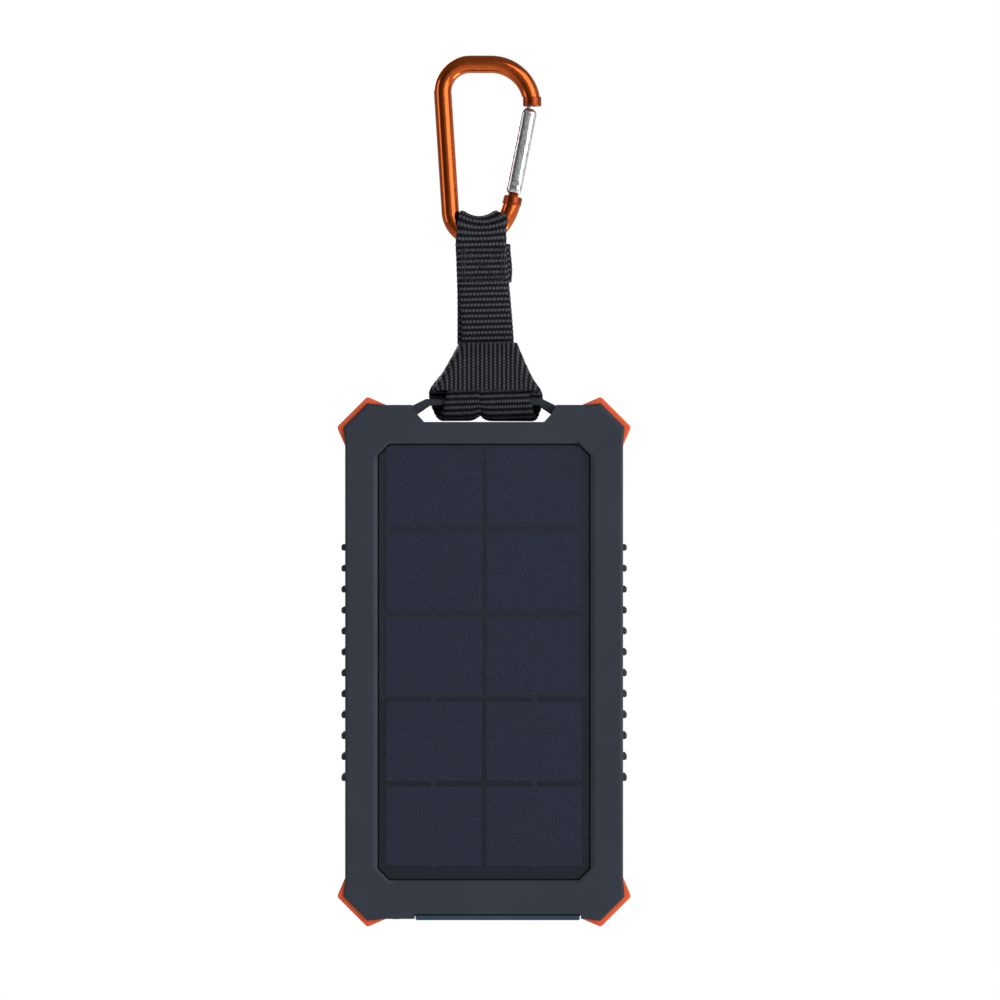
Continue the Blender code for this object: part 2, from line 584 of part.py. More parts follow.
def build_case_trim():
    """Seal, corner bumpers and rear screws."""
    plate("case_seal", seal_outline(-0.4 * MM), SPLIT + GAP / 2, SPLIT + 1.2 * MM, "Y", RUBBER,
          [seal_outline(0.4 * MM)])
    half_bumper = [(11.4, 1.9), (11.4, 0), (6.9, -1.95), (6.3, -2.1), (5.8, -1.95)]
    points = half_bumper + [(b, a) for a, b in reversed(half_bumper)] + [(1.9, 8.0), (8.0, 1.9)]
    for name, (right, top) in CORNERS.items():
        outline = corner_points(right, top, points)
        bumper = plate(f"bumper_{name}", outline, -7.6 * MM, 7.6 * MM, "Y", BUMPER_ORANGE)
        round_outline(bumper, -7.6 * MM, 0.35 * MM, 1)
    for i, (x, z) in enumerate(screw_places()):
        screw = rod(f"case_screw_{i + 1}", (x, -3.0 * MM, z), (x, 8.0 * MM, z), SCREW_R, STEEL, 10)
        head = rod(f"screw_head_{i}", (x, 7.75 * MM, z), (x, 8.85 * MM, z), HEAD_R, None, 16, 1.7 * MM)
        combine(screw, [head], "UNION")
        for turn in (0, math.pi / 2):
            place = Matrix.Translation((x, 0, z)) @ Matrix.Rotation(turn, 4, "Y")
            cross = box(f"drive_{i}", (-1.1 * MM, 1.1 * MM), (8.2 * MM, 10 * MM),
                        (-0.22 * MM, 0.22 * MM), None, 0, 1, place)
            combine(screw, [cross])


# Solar panel ----------------------------------------------------------------


def build_panel():
    edge = -0.45 * MM
    plate("panel_cover", window_outline(edge), -8.4 * MM, -7.8 * MM, "Y", PANEL_FILM)
    plate("panel_board", window_outline(edge), -6.5 * MM, -5.9 * MM, "Y", LAMINATE)
    for row in range(5):
        for column in (0, 1):
            side = column * 2 - 1
            inner = side * CELL_GAP_X / 2
            x = sorted((inner, inner + side * CELL_W))
            top = CELL_TOP - row * (CELL_H + CELL_GAP_Z)
            box(f"solar_cell_{row * 2 + column + 1}", x, (-7.5 * MM, -7.25 * MM), (top - CELL_H, top), SILICON)
    # Flat copper strips behind the cells, one down each column.
    for name, x in (("tabbing_left", -14 * MM), ("tabbing_right", 14 * MM)):
        box(name, (x - 0.8 * MM, x + 0.8 * MM), (-6.95 * MM, -6.8 * MM),
            (CASE_MID - 57 * MM, CASE_MID + 57 * MM), COPPER)


# Battery and electronics ----------------------------------------------------


def build_battery():
    top = CASE_TOP - 10 * MM
    for name, x in (("battery_cell_left", (-29.3, -0.6)), ("battery_cell_right", (0.6, 29.3))):
        box(name, (x[0] * MM, x[1] * MM), (-4.2 * MM, 3.6 * MM), (top - 90 * MM, top), POUCH, 1.2 * MM, 2)
    box("battery_foam", (-25 * MM, 25 * MM), (-5.5 * MM, -4.55 * MM), (top - 84 * MM, top - 6 * MM), FOAM)
    box("battery_board", (-12 * MM, 12 * MM), (4.2 * MM, 5.0 * MM), (top - 88 * MM, top - 78 * MM),
        BOARD_GREEN)


def build_electronics():
    low, high = BOARD_Z
    outline = mirrored([(30 * MM, high), (30 * MM, low + 5.8 * MM), (24.2 * MM, low)])
    board = plate("main_board", outline, *BOARD_Y, "Y", BOARD_GREEN)
    face = BOARD_Y[0] - 0.3 * MM
    for i, x in enumerate(USB_A_X):
        shell = box(f"usb_socket_{i + 1}", (x - 6.6 * MM, x + 6.6 * MM),
                    (PORT_Y - 3.35 * MM, PORT_Y + 3.35 * MM), (low, low + 13.5 * MM), STEEL)
        hollow = box(f"usb_hollow_{i}", (x - 6.1 * MM, x + 6.1 * MM),
                     (PORT_Y - 2.6 * MM, PORT_Y + 2.6 * MM), (low - 1 * MM, low + 12 * MM))
        tongue = box(f"usb_tongue_{i}", (x - 5.3 * MM, x + 5.3 * MM),
                     (PORT_Y + 0.1 * MM, PORT_Y + 1.9 * MM), (low + 2 * MM, low + 12.6 * MM))
        combine(shell, [hollow])
        combine(shell, [tongue], "UNION")
    micro = box("micro_usb_socket", (MICRO_X - 3.8 * MM, MICRO_X + 3.8 * MM), (PORT_Y - 1.5 * MM, face),
                (low, low + 5.6 * MM), STEEL)
    hollow = box("micro_hollow", (MICRO_X - 3.4 * MM, MICRO_X + 3.4 * MM),
                 (PORT_Y - 1.1 * MM, PORT_Y + 0.9 * MM), (low - 1 * MM, low + 4.6 * MM))
    combine(micro, [hollow])
    notch = box("board_notch", (BUTTON_X - 3.5 * MM, BUTTON_X + 3.5 * MM), (0, 9 * MM),
                (low - 1 * MM, low + 1.5 * MM))
    combine(board, [notch])
    switch = box("button_switch", (BUTTON_X - 2.2 * MM, BUTTON_X + 2.2 * MM), (BUTTON_Y - 1.8 * MM, face),
                 (low + 3.6 * MM, low + 7.2 * MM), CHIP_BLACK)
    stem = rod("switch_stem", (BUTTON_X, BUTTON_Y, low + STEM_LOW), (BUTTON_X, BUTTON_Y, low + 4.0 * MM),
               0.8 * MM, None, 10)
    combine(switch, [stem], "UNION")
    coil_z = low + 24 * MM
    rod("inductor", (-6 * MM, face, coil_z), (-6 * MM, face - 4 * MM, coil_z), 4 * MM, CHIP_BLACK, 16)
    chip_y = (face - 1 * MM, face)
    box("charge_controller", (4 * MM, 11 * MM), chip_y, (low + 20 * MM, low + 27 * MM), CHIP_BLACK)
    box("boost_controller", (16 * MM, 21 * MM), chip_y, (low + 18 * MM, low + 23 * MM), CHIP_BLACK)
    pipe = box("light_pipe", (LED_X[0] - 2 * MM, LED_X[-1] + 2 * MM), (5.75 * MM, 6.7 * MM),
               (LED_Z - 1.6 * MM, LED_Z + 1.6 * MM), LAMP)
    for i, x in enumerate(LED_X):
        pip = rod(f"pip_{i}", (x, 6.2 * MM, LED_Z), (x, 8.9 * MM, LED_Z), 0.9 * MM, None, 12)
        combine(pipe, [pip], "UNION")
        box(f"status_led_{i + 1}", (x - 0.8 * MM, x + 0.8 * MM),
            (BOARD_Y[1] + GAP, BOARD_Y[1] + 0.85 * MM), (LED_Z - 0.5 * MM, LED_Z + 0.5 * MM), LAMP)
    panel_route = [
        (24, -5.2, 40.3), (24, -3.6, 40.2), (24, -1, 40), (24, 1.2, 39), (24, 2.2, 37), (24, 2.5, 34),
    ]
    battery_route = [(9, 4.6, 43.9), (9, 4.8, 42), (9.2, 5.5, 40), (9.4, 5.6, 36), (9.4, 5.5, 33)]
    leads = (("panel_lead", RED_LEAD, panel_route), ("battery_lead", BLACK_LEAD, battery_route))
    for name, material, route in leads:
        tube(name, [Vector((x * MM, y * MM, CASE_BOTTOM + z * MM)) for x, y, z in route], 0.5 * MM, material, 1)


def build_port_cover():
    """Rubber cover over the ports. It turns about its rear edge, and three plugs hold it shut."""
    y = (-8.9 * MM, COVER_AXIS.y + 0.7 * MM)
    z = (CASE_BOTTOM - 0.3 * MM, CASE_BOTTOM + COVER_RECESS - GAP)
    cover = box("port_cover", COVER_X, y, z, RUBBER, 0.3 * MM, 1)
    plugs = [(x, 5.9 * MM, 2.2 * MM) for x in USB_A_X] + [(MICRO_X, 3.3 * MM, 1.2 * MM)]
    for i, (x, half_w, half_y) in enumerate(plugs):
        plug = box(f"plug_{i}", (x - half_w, x + half_w), (PORT_Y - half_y, PORT_Y + half_y),
                   (CASE_BOTTOM + 0.5 * MM, CASE_BOTTOM + 2.4 * MM), None, 0.3 * MM, 1)
        combine(cover, [plug], "UNION")


def build_power_button():
    x = (BUTTON_X - BUTTON_HALF_X, BUTTON_X + BUTTON_HALF_X)
    y = (BUTTON_Y - BUTTON_HALF_Y, BUTTON_Y + BUTTON_HALF_Y)
    button = box("power_button", x, y, (CASE_BOTTOM - 0.4 * MM, CASE_BOTTOM + 5.2 * MM), CHIP_BLACK,
                 0.5 * MM, 2)
    flange = box("button_flange", (x[0] - 0.8 * MM, x[1] + 0.8 * MM), (y[0] - 0.8 * MM, y[1] + 0.8 * MM),
                 (CASE_BOTTOM + BOTTOM_WALL + 0.3 * MM, CASE_BOTTOM + BOTTOM_WALL + 1.1 * MM))
    combine(button, [flange], "UNION")


# Assembly -------------------------------------------------------------------


def hang(names, axis_name, place, above=None):
    """Parents the named sub-parts to an empty on their joint's axis."""
    axis = bpy.data.objects.new(axis_name, None)
    axis.location = place
    axis.empty_display_size = 5 * MM
    bpy.context.scene.collection.objects.link(axis)
    if above is not None:
        axis.parent = above
        axis.matrix_parent_inverse = Matrix.Translation(-above.matrix_world.translation)
    for name in names:
        child = bpy.data.objects[name]
        child.parent = axis
        child.matrix_parent_inverse = Matrix.Translation(-Vector(place))
    bpy.context.view_layer.update()
    return axis


build_carabiner_body()
build_gate()
build_strap()
build_front_shell()
build_rear_cover()
build_case_trim()
build_panel()
build_battery()
build_electronics()
build_port_cover()
build_power_button()

gate_names = ["gate", "gate_plunger", "gate_spring"]
strap_names = ["strap_webbing", "strap_stitching"]
bottom_names = ["port_cover", "power_button"]
held_names = ["carabiner_body", "gate_rivet", *gate_names, *strap_names, *bottom_names]
case_names = [part.name for part in parts.objects if part.name not in held_names]
hang(gate_names, "gate_axis", GATE_PIVOT)
strap_axis = hang(strap_names, "strap_swing_axis", SWING_AXIS)
case_axis = hang(case_names, "case_swing_axis", BAR_AXIS, strap_axis)
hang(["port_cover"], "port_cover_axis", COVER_AXIS, case_axis)
hang(["power_button"], "power_button_axis", (BUTTON_X, BUTTON_Y, CASE_BOTTOM), case_axis)
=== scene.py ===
import json
import math

import bpy
import numpy as np
from mathutils import Matrix, Vector


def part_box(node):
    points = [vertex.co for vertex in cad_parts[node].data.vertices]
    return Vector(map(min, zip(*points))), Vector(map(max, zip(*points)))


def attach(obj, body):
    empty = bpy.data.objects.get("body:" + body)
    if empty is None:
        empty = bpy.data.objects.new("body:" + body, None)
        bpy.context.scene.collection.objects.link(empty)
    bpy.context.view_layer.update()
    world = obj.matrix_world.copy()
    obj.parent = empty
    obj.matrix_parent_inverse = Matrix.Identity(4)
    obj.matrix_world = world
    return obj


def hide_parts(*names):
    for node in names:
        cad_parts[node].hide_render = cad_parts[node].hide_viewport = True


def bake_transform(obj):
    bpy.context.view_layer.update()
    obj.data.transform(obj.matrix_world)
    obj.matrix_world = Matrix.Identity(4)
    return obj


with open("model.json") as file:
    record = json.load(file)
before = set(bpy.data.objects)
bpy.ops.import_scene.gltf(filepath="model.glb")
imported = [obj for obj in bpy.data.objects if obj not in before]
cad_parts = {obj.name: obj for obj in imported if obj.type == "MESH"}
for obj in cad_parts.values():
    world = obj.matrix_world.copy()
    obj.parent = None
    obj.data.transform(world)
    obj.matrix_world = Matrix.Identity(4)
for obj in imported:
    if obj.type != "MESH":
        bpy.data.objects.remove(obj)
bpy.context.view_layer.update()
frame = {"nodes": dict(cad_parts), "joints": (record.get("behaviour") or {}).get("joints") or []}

bpy.ops.object.select_all(action="DESELECT")

# Studio ---------------------------------------------------------------------
# A plain pale floor below the hanging charger and an even white surround. One large soft
# light stands high on the right, with smaller ones on the left, below and behind. The
# camera is level with the middle of the charger and looks straight at its panel.

MM = 0.001
CAMERA_DISTANCE, VIEW_WIDTH = 2.0, 0.2774
FLOOR_R, FLOOR_DROP, HAZE_FROM = 0.19, 60 * MM, 0.04
WHITE = (1, 1, 1, 1)
case_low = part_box("front_shell")[0].z
middle = Vector((4.4, -5, -118.7)) * MM

bpy.ops.object.camera_add(
    location=middle - Vector((0, CAMERA_DISTANCE, 0)), rotation=(math.pi / 2, 0, 0)
)
camera = bpy.context.object
camera.data.sensor_width = 36
camera.data.lens = camera.data.sensor_width * CAMERA_DISTANCE / VIEW_WIDTH
camera.data.clip_start = 0.01
bpy.context.scene.camera = camera
bpy.context.scene.view_settings.view_transform = "Standard"

bpy.ops.mesh.primitive_circle_add(
    vertices=96, radius=FLOOR_R, fill_type="NGON", location=(0, 0, case_low - FLOOR_DROP)
)
floor = bpy.context.object
floor.name = "floor"
floor_paint = bpy.data.materials.new("pale_floor")
floor_paint.use_nodes = True
tree = floor_paint.node_tree
paint = tree.nodes["Principled BSDF"]
paint.inputs["Base Color"].default_value = (0.9, 0.9, 0.9, 1)
paint.inputs["Roughness"].default_value = 0.8
haze = tree.nodes.new("ShaderNodeEmission")
place = tree.nodes.new("ShaderNodeTexCoord")
reach = tree.nodes.new("ShaderNodeVectorMath")
reach.operation = "LENGTH"
fade = tree.nodes.new("ShaderNodeMapRange")
fade.inputs["From Min"].default_value = HAZE_FROM
fade.inputs["From Max"].default_value = FLOOR_R
both = tree.nodes.new("ShaderNodeMixShader")
tree.links.new(place.outputs["Object"], reach.inputs[0])
tree.links.new(reach.outputs["Value"], fade.inputs["Value"])
tree.links.new(fade.outputs["Result"], both.inputs["Fac"])
tree.links.new(paint.outputs["BSDF"], both.inputs[1])
tree.links.new(haze.outputs["Emission"], both.inputs[2])
tree.links.new(both.outputs["Shader"], tree.nodes["Material Output"].inputs["Surface"])
floor.data.materials.append(floor_paint)

# The camera sees plain white, but the metal mirrors a surround that is darker in front on
# the left and overhead, and lighter on the right and below.
world = bpy.data.worlds.new("surround")
bpy.context.scene.world = world
world.use_nodes = True
tree = world.node_tree
seen = tree.nodes["Background"]
seen.inputs["Color"].default_value = WHITE
seen.inputs["Strength"].default_value = 1.0
lit = tree.nodes.new("ShaderNodeBackground")
lit.inputs["Color"].default_value = WHITE
toward = tree.nodes.new("ShaderNodeTexCoord")
dark_side = tree.nodes.new("ShaderNodeVectorMath")
dark_side.operation = "DOT_PRODUCT"
dark_side.inputs[1].default_value = Vector((-0.58, -0.81, 0.05)).normalized()
shade = tree.nodes.new("ShaderNodeMapRange")
shade.interpolation_type = "SMOOTHSTEP"
shade.inputs["From Min"].default_value = 0.72
shade.inputs["From Max"].default_value = 0.97
shade.inputs["To Min"].default_value = 0.62
shade.inputs["To Max"].default_value = 0.19
sides = tree.nodes.new("ShaderNodeSeparateXYZ")
right_side = tree.nodes.new("ShaderNodeMapRange")
right_side.inputs["From Min"].default_value = -1.0
right_side.inputs["To Min"].default_value = 0.5
right_side.inputs["To Max"].default_value = 1.15
low_side = tree.nodes.new("ShaderNodeMapRange")
low_side.inputs["From Min"].default_value = -0.9
low_side.inputs["From Max"].default_value = 0.7
low_side.inputs["To Min"].default_value = 1.5
low_side.inputs["To Max"].default_value = 0.45
level = tree.nodes.new("ShaderNodeMath")
level.operation = "MULTIPLY"
strength = tree.nodes.new("ShaderNodeMath")
strength.operation = "MULTIPLY"
ray = tree.nodes.new("ShaderNodeLightPath")
surround = tree.nodes.new("ShaderNodeMixShader")
tree.links.new(toward.outputs["Generated"], dark_side.inputs[0])
tree.links.new(dark_side.outputs["Value"], shade.inputs["Value"])
tree.links.new(toward.outputs["Generated"], sides.inputs["Vector"])
tree.links.new(sides.outputs["X"], right_side.inputs["Value"])
tree.links.new(shade.outputs["Result"], level.inputs[0])
tree.links.new(right_side.outputs["Result"], level.inputs[1])
tree.links.new(sides.outputs["Z"], low_side.inputs["Value"])
tree.links.new(level.outputs["Value"], strength.inputs[0])
tree.links.new(low_side.outputs["Result"], strength.inputs[1])
tree.links.new(strength.outputs["Value"], lit.inputs["Strength"])
tree.links.new(ray.outputs["Is Camera Ray"], surround.inputs["Fac"])
tree.links.new(lit.outputs["Background"], surround.inputs[1])
tree.links.new(seen.outputs["Background"], surround.inputs[2])
tree.links.new(surround.outputs["Shader"], tree.nodes["World Output"].inputs["Surface"])


def soft_light(name, location, size, watts):
    bpy.ops.object.light_add(type="AREA", location=location)
    light = bpy.context.object
    light.name = name
    light.data.shape = "RECTANGLE"
    light.data.size, light.data.size_y = size
    light.data.energy = watts
    aim = middle - Vector(location)
    light.rotation_mode = "QUATERNION"
    light.rotation_quaternion = aim.to_track_quat("-Z", "Y")


soft_light("key_light", (0.7, -0.7, 0.25), (0.9, 1.2), 7.5)
soft_light("fill_light", (-0.75, -0.25, 0.0), (0.3, 0.6), 0.8)
soft_light("low_light", (0.5, 0.02, -0.55), (0.28, 0.28), 2.2)
soft_light("rear_light", (-0.4, 0.8, 0.3), (0.5, 0.5), 4)

# Carabiner body -------------------------------------------------------------
# Round aluminium rod, polished and anodised orange, bent to a D. It is open on the right
# between a nose, slotted for the gate's tip, and a flat tongue that the gate is riveted to.
# One ring is spun round each bend in turn, and wider turned collars finish both ends.

ROD_R, COLLAR_R = 2.45 * MM, 2.65 * MM
TOP_RIGHT, TOP_RIGHT_R = Vector((1.89, 0, -8.92)) * MM, 11.37 * MM
TOP_LEFT, TOP_LEFT_R = Vector((-3.91, 0, -5.18)) * MM, 7.63 * MM
BOTTOM, BOTTOM_R = Vector((-1.80, 0, -38.14)) * MM, 7.63 * MM
GATE_SIDE, GATE_SIDE_R = Vector((-7.21, 0, -32.73)) * MM, 15.26 * MM
SPINE_LEAN, GATE_LEAN = math.radians(3.66), math.radians(11.1)
NOSE_START = math.radians(8.0)
NOSE_COLLAR_UP, NOSE_COLLAR_TALL = 1.0 * MM, 2.6 * MM
FOOT_COLLAR_UP, FOOT_COLLAR_TALL, COLLAR_EDGE = 0.2 * MM, 2.4 * MM, 0.25 * MM
TONGUE_W, TONGUE_THICK, TONGUE_TALL, TONGUE_DROP = 2.8 * MM, 1.2 * MM, 6.2 * MM, 1.2 * MM
axis_of = {j["name"]: Vector(j["pos_m"]) for j in frame["joints"] if "pos_m" in j}
gate_pivot = axis_of["gate_hinge"]
GATE_UP, GATE_DOWN = 21.4 * MM, 3.0 * MM


def principled(name, colour, roughness, metallic=0.0):
    """A material with the given base finish, and its node tree."""
    material = bpy.data.materials.new(name)
    material.use_nodes = True
    shader = material.node_tree.nodes["Principled BSDF"]
    shader.inputs["Base Color"].default_value = (*colour, 1)
    shader.inputs["Roughness"].default_value = roughness
    shader.inputs["Metallic"].default_value = metallic
    return material, material.node_tree, shader


def grain(tree, shader, scale, depth, detail=3.0):
    """Fine relief in the surface: its scale per metre and its depth in metres."""
    where = tree.nodes.new("ShaderNodeTexCoord")
    noise = tree.nodes.new("ShaderNodeTexNoise")
    noise.inputs["Scale"].default_value = scale
    noise.inputs["Detail"].default_value = detail
    bump = tree.nodes.new("ShaderNodeBump")
    bump.inputs["Strength"].default_value = 1.0
    bump.inputs["Distance"].default_value = depth
    tree.links.new(where.outputs["Object"], noise.inputs["Vector"])
    tree.links.new(noise.outputs["Fac"], bump.inputs["Height"])
    tree.links.new(bump.outputs["Normal"], shader.inputs["Normal"])
    return noise


def tint(tree, shader, noise, colours, at=(0.3, 0.7)):
    """Colour that drifts between the given ones with the noise."""
    ramp = tree.nodes.new("ShaderNodeValToRGB")
    ramp.color_ramp.elements[0].position, ramp.color_ramp.elements[1].position = at
    ramp.color_ramp.elements[0].color = (*colours[0], 1)
    ramp.color_ramp.elements[1].color = (*colours[1], 1)
    tree.links.new(noise.outputs["Fac"], ramp.inputs["Fac"])
    tree.links.new(ramp.outputs["Color"], shader.inputs["Base Color"])


def anodised():
    material, tree, shader = principled("orange_anodised", (0.80, 0.2, 0.02), 0.13, 1.0)
    noise = grain(tree, shader, 900, 0.006 * MM)
    tint(tree, shader, noise, ((0.53, 0.096, 0.018), (0.65, 0.13, 0.029)))
    return material


def collar_shaded_anodised():
    """The collars' turned ends, coloured darker as painted shade for their darker reflection."""
    material, tree, shader = principled("collar_shaded_anodised", (0.3, 0.05, 0.016), 0.3, 1.0)
    noise = grain(tree, shader, 1600, 0.012 * MM)
    tint(tree, shader, noise, ((0.24, 0.04, 0.013), (0.38, 0.07, 0.02)))
    return material


def finish_piece(piece, name, material, angle=35):
    """Names a piece, puts its place in its mesh, and smooths all but its sharp edges."""
    bpy.ops.object.select_all(action="DESELECT")
    piece.select_set(True)
    bpy.context.view_layer.objects.active = piece
    bpy.ops.object.transform_apply(location=True, rotation=True, scale=True)
    bpy.ops.object.shade_smooth_by_angle(angle=math.radians(angle))
    piece.name = name
    piece.data.materials.clear()
    piece.data.materials.append(material)
    return piece


def recalculate():
    """Merges doubled points and turns all faces outwards."""
    bpy.ops.mesh.select_all(action="SELECT")
    bpy.ops.mesh.remove_doubles(threshold=0.001 * MM)
    bpy.ops.mesh.normals_make_consistent(inside=False)


def on_bend(centre, radius, angle):
    """The point at an angle on a bend's centre line."""
    return centre + Vector((math.cos(angle), 0, math.sin(angle))) * radius


def sweep_bend(centre, degrees):
    bpy.ops.mesh.spin(steps=28, angle=math.radians(degrees), center=centre, axis=(0, 1, 0))


def sweep_straight(start, end):
    bpy.ops.mesh.extrude_edges_move(TRANSFORM_OT_translate={"value": end - start})


orange = anodised()
lean = math.degrees(SPINE_LEAN)
nose = on_bend(TOP_RIGHT, TOP_RIGHT_R, NOSE_START)
bpy.ops.mesh.primitive_circle_add(
    vertices=40, radius=ROD_R, location=nose, rotation=(0, -NOSE_START, 0)
)
rod = bpy.context.object
bpy.ops.object.transform_apply(location=True, rotation=True, scale=True)
bpy.ops.object.mode_set(mode="EDIT")
bpy.ops.mesh.select_all(action="SELECT")
sweep_bend(TOP_RIGHT, 90 - math.degrees(NOSE_START))
top = math.pi / 2
sweep_straight(on_bend(TOP_RIGHT, TOP_RIGHT_R, top), on_bend(TOP_LEFT, TOP_LEFT_R, top))
sweep_bend(TOP_LEFT, 90 + lean)
spine = math.pi + SPINE_LEAN
sweep_straight(on_bend(TOP_LEFT, TOP_LEFT_R, spine), on_bend(BOTTOM, BOTTOM_R, spine))
sweep_bend(BOTTOM, 135 - lean)
sweep_bend(GATE_SIDE, 45 - math.degrees(GATE_LEAN))
bpy.ops.mesh.select_all(action="DESELECT")
bpy.ops.mesh.select_mode(type="EDGE")
bpy.ops.mesh.select_non_manifold()
bpy.ops.mesh.edge_face_add()
recalculate()
bpy.ops.object.mode_set(mode="OBJECT")

foot = on_bend(GATE_SIDE, GATE_SIDE_R, -GATE_LEAN)
along_gate = Matrix.Rotation(GATE_LEAN, 4, "Y") @ Vector((0, 0, 1))
collars = []
for centre, tilt, tall in (
    (on_bend(TOP_RIGHT, TOP_RIGHT_R, 0) + Vector((0, 0, NOSE_COLLAR_UP)), 0.0, NOSE_COLLAR_TALL),
    (foot + along_gate * FOOT_COLLAR_UP, GATE_LEAN, FOOT_COLLAR_TALL),
):
    bpy.ops.mesh.primitive_cylinder_add(
        vertices=40, radius=COLLAR_R, depth=tall, location=centre, rotation=(0, tilt, 0)
    )
    collars.append(bpy.context.object)
    bpy.ops.object.mode_set(mode="EDIT")
    bpy.ops.mesh.select_all(action="SELECT")
    bpy.ops.mesh.bevel(offset=COLLAR_EDGE, segments=3, affect="EDGES")
    bpy.ops.object.mode_set(mode="OBJECT")
    bpy.ops.object.transform_apply(location=True, rotation=True, scale=True)


def block(centre, size, bevel=0.0, segments=3, place=Matrix.Identity(4)):
    """A block of the given size, its edges rounded, set in place."""
    bpy.ops.object.select_all(action="DESELECT")
    bpy.ops.mesh.primitive_cube_add(size=1)
    piece = bpy.context.object
    piece.scale = size
    bpy.ops.object.transform_apply(location=False, rotation=False, scale=True)
    if bevel:
        bpy.ops.object.mode_set(mode="EDIT")
        bpy.ops.mesh.select_all(action="SELECT")
        bpy.ops.mesh.bevel(offset=bevel, segments=segments, affect="EDGES")
        bpy.ops.object.mode_set(mode="OBJECT")
    piece.matrix_world = place @ Matrix.Translation(centre)
    bpy.ops.object.transform_apply(location=True, rotation=True, scale=True)
    return piece


gate_place = Matrix.Translation(gate_pivot) @ Matrix.Rotation(GATE_LEAN, 4, "Y")
tongue = block(
    Vector((0, 0, -TONGUE_DROP)), (TONGUE_W, TONGUE_THICK, TONGUE_TALL), 0.3 * MM, place=gate_place
)


def fuse(piece, others, operation="UNION"):
    """Joins or cuts a piece with others, which are used up."""
    for other in others:
        step = piece.modifiers.new("fuse", "BOOLEAN")
        step.operation, step.solver, step.object = operation, "EXACT", other
        bpy.ops.object.select_all(action="DESELECT")
        piece.select_set(True)
        bpy.context.view_layer.objects.active = piece
        bpy.ops.object.modifier_apply(modifier=step.name)
        bpy.data.objects.remove(other, do_unlink=True)


fuse(rod, [tongue])
SLOT_W, SLOT_THICK, SLOT_TALL = 5.6 * MM, 1.9 * MM, 4.2 * MM
tip_slot = block(
    Vector((-1.6 * MM, 0, GATE_UP + 0.8 * MM)), (SLOT_W, SLOT_THICK, SLOT_TALL), place=gate_place
)
nose_collar, foot_collar = collars
slot_copy = tip_slot.copy()
slot_copy.data = tip_slot.data.copy()
bpy.context.scene.collection.objects.link(slot_copy)
fuse(nose_collar, [slot_copy], "DIFFERENCE")
fuse(rod, [tip_slot], "DIFFERENCE")
# The collars get a darker orange than the rod: painted shade.
collar_shaded_orange = collar_shaded_anodised()
for collar, name in ((nose_collar, "nose_collar"), (foot_collar, "foot_collar")):
    finish_piece(collar, name, collar_shaded_orange, 40)
    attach(collar, "carabiner")
finish_piece(rod, "carabiner_rod", orange, 30)
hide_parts("carabiner_body")
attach(rod, "carabiner")

# Gate -----------------------------------------------------------------------
# Bright drawn aluminium, softly squared, forked at its foot round the tongue and hung on a
# steel rivet. A small tip at its head seats in the nose's slot, and a spring inside shuts it.

GATE_W, GATE_D, GATE_EDGE, GATE_OFFSET = 4.3 * MM, 4.4 * MM, 1.6 * MM, 0.12 * MM
TIP_W, TIP_THICK, TIP_TALL = 1.6 * MM, 1.4 * MM, 4 * MM
FORK_DEEP, FORK_THICK, FORK_TALL = 8 * MM, 1.9 * MM, 8.4 * MM


def drawn_aluminium():
    """Bright metal with the mottled scuffs of the drawing die along it."""
    material, tree, shader = principled("gate_aluminium", (0.80, 0.81, 0.83), 0.2, 1.0)
    noise = grain(tree, shader, 1, 0.05 * MM, 4)
    lengthways = tree.nodes.new("ShaderNodeMapping")
    lengthways.inputs["Rotation"].default_value = (0, -GATE_LEAN, 0)
    lengthways.inputs["Scale"].default_value = (2200, 2200, 700)
    tree.links.new(noise.inputs["Vector"].links[0].from_socket, lengthways.inputs["Vector"])
    tree.links.new(lengthways.outputs["Vector"], noise.inputs["Vector"])
    tint(tree, shader, noise, ((0.50, 0.51, 0.53), (0.90, 0.90, 0.92)), (0.38, 0.6))
    return material


def plated_steel():
    material, tree, shader = principled("plated_steel", (0.62, 0.62, 0.63), 0.3, 1.0)
    noise = grain(tree, shader, 1400, 0.01 * MM)
    tint(tree, shader, noise, ((0.52, 0.52, 0.53), (0.70, 0.70, 0.71)))
    return material


gate_middle = Vector((-GATE_OFFSET, 0, (GATE_UP - GATE_DOWN) / 2))
gate_size = (GATE_W, GATE_D, GATE_UP + GATE_DOWN)
gate = block(gate_middle, gate_size, GATE_EDGE, 8, gate_place)
tip = block(
    Vector((-0.35 * MM, 0, GATE_UP)), (TIP_W, TIP_THICK, TIP_TALL), 0.3 * MM, place=gate_place
)
fork = block(
    Vector((0, 0, -TONGUE_DROP)), (FORK_DEEP, FORK_THICK, FORK_TALL), 0.4 * MM, place=gate_place
)
fuse(gate, [tip])
fuse(gate, [fork], "DIFFERENCE")
finish_piece(gate, "gate_bar", drawn_aluminium(), 40)
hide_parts("gate")
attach(gate, "gate")


def paint_nodes(material, names):
    """Gives CAD sub-parts, whose shape is right already, their finish."""
    for name in names:
        frame["nodes"][name].data.materials.clear()
        frame["nodes"][name].data.materials.append(material)


steel = plated_steel()
paint_nodes(steel, ["gate_rivet", "gate_plunger", "gate_spring"])

# Strap ----------------------------------------------------------------------
# Black nylon webbing, ribbed across by its thick weft. One loop saddles the carabiner's
# lower bend, and its two layers hang together below. The saddle stays on the rod while the
# layers bend away from it.

RIB_PITCH, YARN_PITCH = 1.55 * MM, 0.8 * MM
WEB_THICK = 1.3 * MM
WEFT_SLANT, RIB_THIN, EDGE_THIN = 0.03, 0.74, 0.35
ROUND_FROM, ROUND_OVER = 0.9, 0.1
RUN_STEPS = 400


